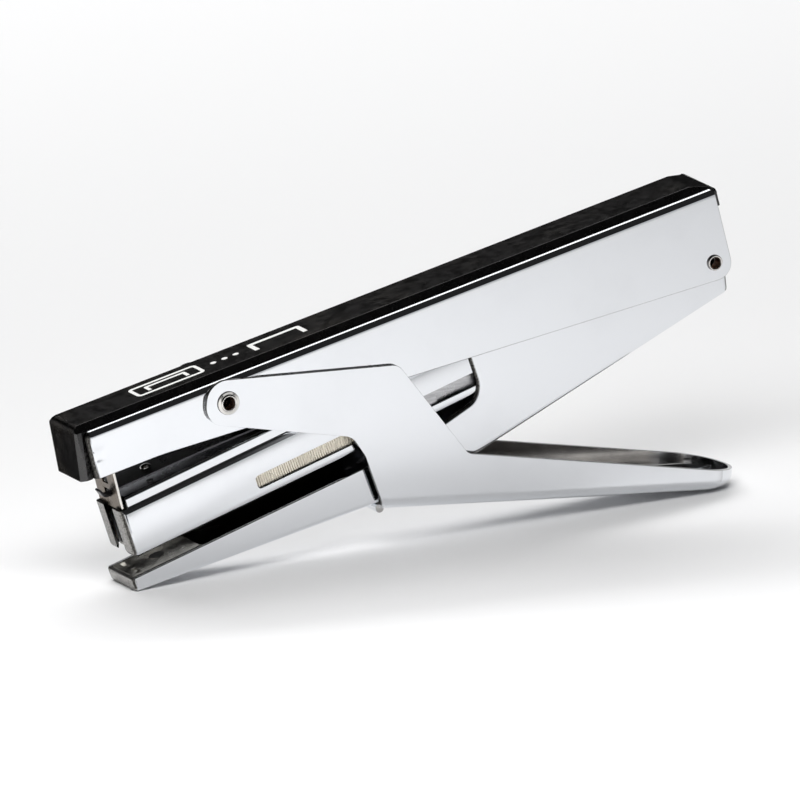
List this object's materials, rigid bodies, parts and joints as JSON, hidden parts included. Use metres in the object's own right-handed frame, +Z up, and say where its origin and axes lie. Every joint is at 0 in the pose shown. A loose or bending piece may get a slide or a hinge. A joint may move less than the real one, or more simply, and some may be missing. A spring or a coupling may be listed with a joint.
{
  "type": "plier stapler",
  "caption": "Chromed plier stapler: channel body with black top strip, swinging magazine and anvil arm, squeeze handle on side rivets.",
  "frame": {"origin": "middle of the footprint, on the surface that the stapler stands on", "axes": "-X towards the nose, +X towards the rear rivets, +Y across, +Z up; symmetric about the XZ plane"},
  "size_m": [0.1716, 0.0214, 0.0743],
  "materials": {
    "chrome_body": "mirror bright plating",
    "chrome_magazine": "mirror bright plating",
    "chrome_arm": "mirror bright plating",
    "chrome_handle": "mirror bright plating",
    "black_cover": "fine satin moulding",
    "hardened_steel": "straw tempered, ground",
    "blued_spring": "dark blued spring steel",
    "plated_rivet": "bright nickel plating",
    "zinc_steel": "zinc plated",
    "staple_wire": "galvanised wire, lacquered",
    "spring_wire": "drawn wire"
  },
  "bodies": {
    "upper_body": {"body_shell": "chrome_body", "top_cover": "black_cover", "driver_blade": "hardened_steel", "catch_tongue": "blued_spring", "driver_rivets": "plated_rivet", "front_pivot_rivets": "plated_rivet", "rear_pivot_rivets": "plated_rivet"},
    "magazine": {"magazine_case": "chrome_magazine", "magazine_lid": "chrome_magazine", "staple_rail": "zinc_steel", "staple_strip": "staple_wire", "return_leaf_spring": "blued_spring", "leaf_spring_rivets": "plated_rivet"},
    "follower": {"follower_rod": "zinc_steel", "follower_catch": "zinc_steel", "pusher_spring": "spring_wire"},
    "pusher": {"pusher": "zinc_steel"},
    "anvil_arm": {"anvil_arm": "chrome_arm", "anvil_plate": "hardened_steel", "anvil_spacer": "zinc_steel", "anvil_rivet": "plated_rivet", "opening_spring": "blued_spring"},
    "handle": {"handle": "chrome_handle"}
  },
  "joints": [
    {"name": "handle_squeeze", "type": "hinge", "parent": "upper_body", "child": "handle", "pos_m": [-0.04731, 0, 0.04252], "axis": [0, -1, 0], "range_deg": [0, 13], "stiffness_Nm_per_rad": 1.6, "springref_deg": -20.05},
    {"name": "arm_swing", "type": "hinge", "parent": "upper_body", "child": "anvil_arm", "pos_m": [0.08075, 0, 0.05585], "axis": [0, 1, 0], "range_deg": [0, 5.6]},
    {"name": "magazine_swing", "type": "hinge", "parent": "upper_body", "child": "magazine", "pos_m": [0.08075, 0, 0.05585], "axis": [0, 1, 0], "range_deg": [0, 4.2]},
    {"name": "follower_pull", "type": "slide", "parent": "magazine", "child": "follower", "axis": [0.9633, 0, 0.2684], "range_m": [0, 0.05]},
    {"name": "pusher_slide", "type": "slide", "parent": "follower", "child": "pusher", "axis": [0.9633, 0, 0.2684], "range_m": [0, 0.02], "stiffness_N_per_m": 60, "springref_m": -0.05, "deforming": ["pusher_spring"]}
  ],
  "couplings": [
    {"joint": "arm_swing", "follows": "handle_squeeze", "ratio": 0.43077},
    {"joint": "magazine_swing", "follows": "handle_squeeze", "ratio": 0.32308}
  ]
}
